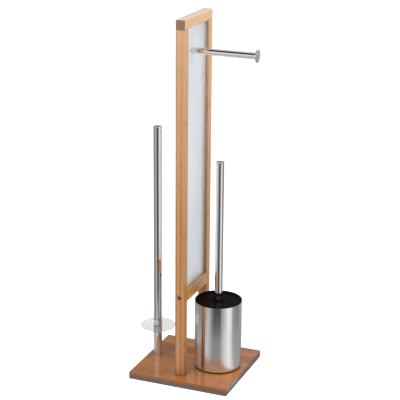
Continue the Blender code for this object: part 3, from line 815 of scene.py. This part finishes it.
def make_bristles():
    """Rows of nylon tufts round the core, and rings of tufts that round off the head's bottom."""
    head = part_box("brush_bristles")
    low, high = head
    centre = (low + high) / 2
    length = radius_of("brush_bristles") - CORE_RADIUS
    rng = Random(7)
    shape = bmesh.new()
    for row in range(TUFT_ROWS):
        share = row / (TUFT_ROWS - 1)
        middle = Vector((centre.x, centre.y, low.z + 0.012 + share * (high.z - low.z - 0.016)))
        tilt = 0.10 - 0.22 * (1 - share)
        for k in range(TUFTS_PER_ROW):
            angle = 2 * pi * (k + 0.5 * (row % 2)) / TUFTS_PER_ROW
            out = Vector((cos(angle), sin(angle), 0))
            direction = (out + Vector((0, 0, tilt))).normalized()
            add_tuft(shape, rng, head, middle + out * CORE_RADIUS, direction, length, 0.0028)
    middle = Vector((centre.x, centre.y, low.z + 0.0075))
    for radius, count, droop in LOWER_TUFTS:
        for k in range(count):
            angle = 2 * pi * k / count
            out = Vector((cos(angle), sin(angle), 0))
            direction = (out + Vector((0, 0, -droop))).normalized()
            reach = min(0.022 / max(0.35, direction.xy.length), 0.0072 / max(0.15, -direction.z))
            add_tuft(shape, rng, head, middle + out * radius, direction, reach, 0.0022)
    piece = new_piece("nylon_bristles", shape, nylon("bristle_nylon"), "brush", 60)
    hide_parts("brush_bristles")


# ---------------------------------------------------------------- studio


def make_camera():
    data = bpy.data.cameras.new("camera")
    data.lens = CAMERA_LENS
    camera = bpy.data.objects.new("camera", data)
    bpy.context.scene.collection.objects.link(camera)
    yaw = radians(CAMERA_YAW)
    pitch = radians(CAMERA_PITCH)
    ahead = Vector((-sin(yaw) * cos(pitch), cos(yaw) * cos(pitch), -sin(pitch)))
    turn = ahead.to_track_quat("-Z", "Y").to_matrix().to_4x4()
    roll = Matrix.Rotation(radians(CAMERA_ROLL), 4, "Z")
    camera.matrix_world = Matrix.Translation(CAMERA_PLACE) @ turn @ roll
    bpy.context.scene.camera = camera


def stage_plane(name, size, height, material, **visible):
    """A square plane that isn't part of the object, with its ray visibility."""
    shape = bmesh.new()
    bmesh.ops.create_grid(shape, x_segments=1, y_segments=1, size=size / 2)
    mesh = bpy.data.meshes.new(name)
    shape.to_mesh(mesh)
    shape.free()
    plane = bpy.data.objects.new(name, mesh)
    plane.location.z = height
    bpy.context.scene.collection.objects.link(plane)
    mesh.materials.append(material)
    for kind, shown in visible.items():
        setattr(plane, "visible_" + kind, shown)


def floor_material():
    s = Shader("pale_floor")
    tone = s.noise(s.place(), 3.0, 2.0)
    s.set(Base_Color=s.ramp(tone, [(0.3, grey(0.93)), (0.7, grey(0.95))]), Roughness=0.9)
    s.set(Emission_Color=opaque(grey(1.0)), Emission_Strength=0.45)
    return s.material


def reflected_floor_material():
    """A studio table seen only in reflections: light and dark cards lie round the set."""
    s = Shader("reflected_table")
    cup_low, cup_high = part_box("cup_shell")
    centre = (cup_low + cup_high) / 2
    place = s.parts(s.place())
    x = s.math("SUBTRACT", place["X"], centre.x)
    y = s.math("SUBTRACT", place["Y"], centre.y)
    turn = s.math("ADD", s.math("DIVIDE", s.math("ARCTAN2", y, x), 2 * pi), 0.5)
    near = s.ramp(turn, [((a + 180) / 360, grey(light)) for a, light, _ in AROUND], "EASE")
    far = s.ramp(turn, [((a + 180) / 360, grey(light)) for a, _, light in AROUND], "EASE")
    distance = s.math("SQRT", s.math("ADD", s.math("MULTIPLY", x, x), s.math("MULTIPLY", y, y)))
    beyond = s.ramp(distance, [(NEAR_ENDS, grey(0.0)), (FAR_STARTS, grey(1.0))], "EASE")
    light = s.add("Emission", {"Color": s.mix(beyond, near, far), "Strength": 1.0})
    s.feed(s.tree.nodes["Material Output"].inputs["Surface"], light.outputs["Emission"])
    return s.material


def make_world():
    """White all round for the eye, soft light, and bands of light and dark for metal and gloss.

    The ramps run from straight down at 0 over the horizon at 0.5 to straight up at 1.
    """
    world = bpy.data.worlds.new("studio")
    bpy.context.scene.world = world
    world.use_nodes = True
    s = Nodes(world.node_tree)
    direction = s.parts(s.add("TexCoord").outputs["Generated"])
    height = direction["Z"]
    upper = s.math("ADD", s.math("MULTIPLY", height, 0.5), 0.5)
    front_stops = [(0.50, 1.0), (0.72, 1.1), (0.75, 0.03), (0.95, 0.03)]
    back_stops = [(0.50, 1.0), (0.60, 0.26), (0.80, 0.30), (0.95, 0.85), (1.0, 0.12)]
    front = s.ramp(upper, [(at, grey(light)) for at, light in front_stops])
    back = s.ramp(upper, [(at, grey(light)) for at, light in back_stops])

    # A soft light low behind on the right, whose sheen lies on the board's right side
    across = s.math("ADD", height, s.math("MULTIPLY", direction["X"], 0.5))
    window_stops = [(0.250, 0.0), (0.285, 1.0), (0.36, 1.0), (0.42, 0.0)]
    window = s.ramp(across, [(at, grey(light)) for at, light in window_stops])
    back = s.mix(window, back, opaque(grey(0.90)))

    reflected = s.mix(s.mask(direction["Y"], 0.0, 0.10), front, back)
    rays = s.add("LightPath")
    soft = s.mix(rays.outputs["Is Camera Ray"], opaque((0.62, 0.62, 0.63)), opaque(grey(1.0)))
    background = s.tree.nodes["Background"]
    s.feed(background.inputs["Color"], s.mix(rays.outputs["Is Glossy Ray"], soft, reflected))
    s.feed(background.inputs["Strength"], 1.0)


def area_light(name, place, aim, size, power):
    """A square soft light that isn't seen itself, nor in reflections."""
    data = bpy.data.lights.new(name, "AREA")
    data.shape = "SQUARE"
    data.size = size
    data.energy = power
    light = bpy.data.objects.new(name, data)
    light.location = place
    light.rotation_mode = "QUATERNION"
    light.rotation_quaternion = (Vector(aim) - Vector(place)).to_track_quat("-Z", "Y")
    bpy.context.scene.collection.objects.link(light)
    light.visible_camera = False
    light.visible_glossy = False


def make_studio():
    scene = bpy.context.scene
    scene.view_settings.view_transform = "Standard"
    scene.view_settings.look = "None"
    make_world()
    stage_plane("floor", FLOOR_WIDTH, 0.0, floor_material(), glossy=False)
    stage_plane("reflected_table", REFLECTED_WIDTH, REFLECTED_HEIGHT, reflected_floor_material(),
                camera=False, diffuse=False, transmission=False, shadow=False)
    area_light("key", place=(-0.55, -1.3, 1.75), aim=(0, 0, 0.55), size=0.9, power=20)
    area_light("right", place=(1.05, 0.30, 1.35), aim=(0, 0, 0.62), size=0.6, power=3.3)
    area_light("top", place=(0.62, 0.15, 1.55), aim=(0.06, 0, 0), size=0.9, power=11)


def dress():
    steel = polished_steel("polished_steel_tube", 0.07, brushed=0.4)
    mirror = polished_steel("mirror_steel", 0.05)
    collar_steel = polished_steel("collar_steel", 0.02, (0.62, 0.61, 0.59))
    cup_steel = polished_steel("drawn_cup_steel", 0.14, (0.77, 0.765, 0.75), 0.92)
    black = black_plastic("black_gloss_plastic")
    dress_wood()
    dress_flat_pieces()
    dress_fixings()
    make_arm(mirror)
    make_spare_rod(steel, collar_steel)
    make_cup(cup_steel, black)
    make_liner(black)
    make_brush(steel, black)


make_camera()
dress()
make_studio()
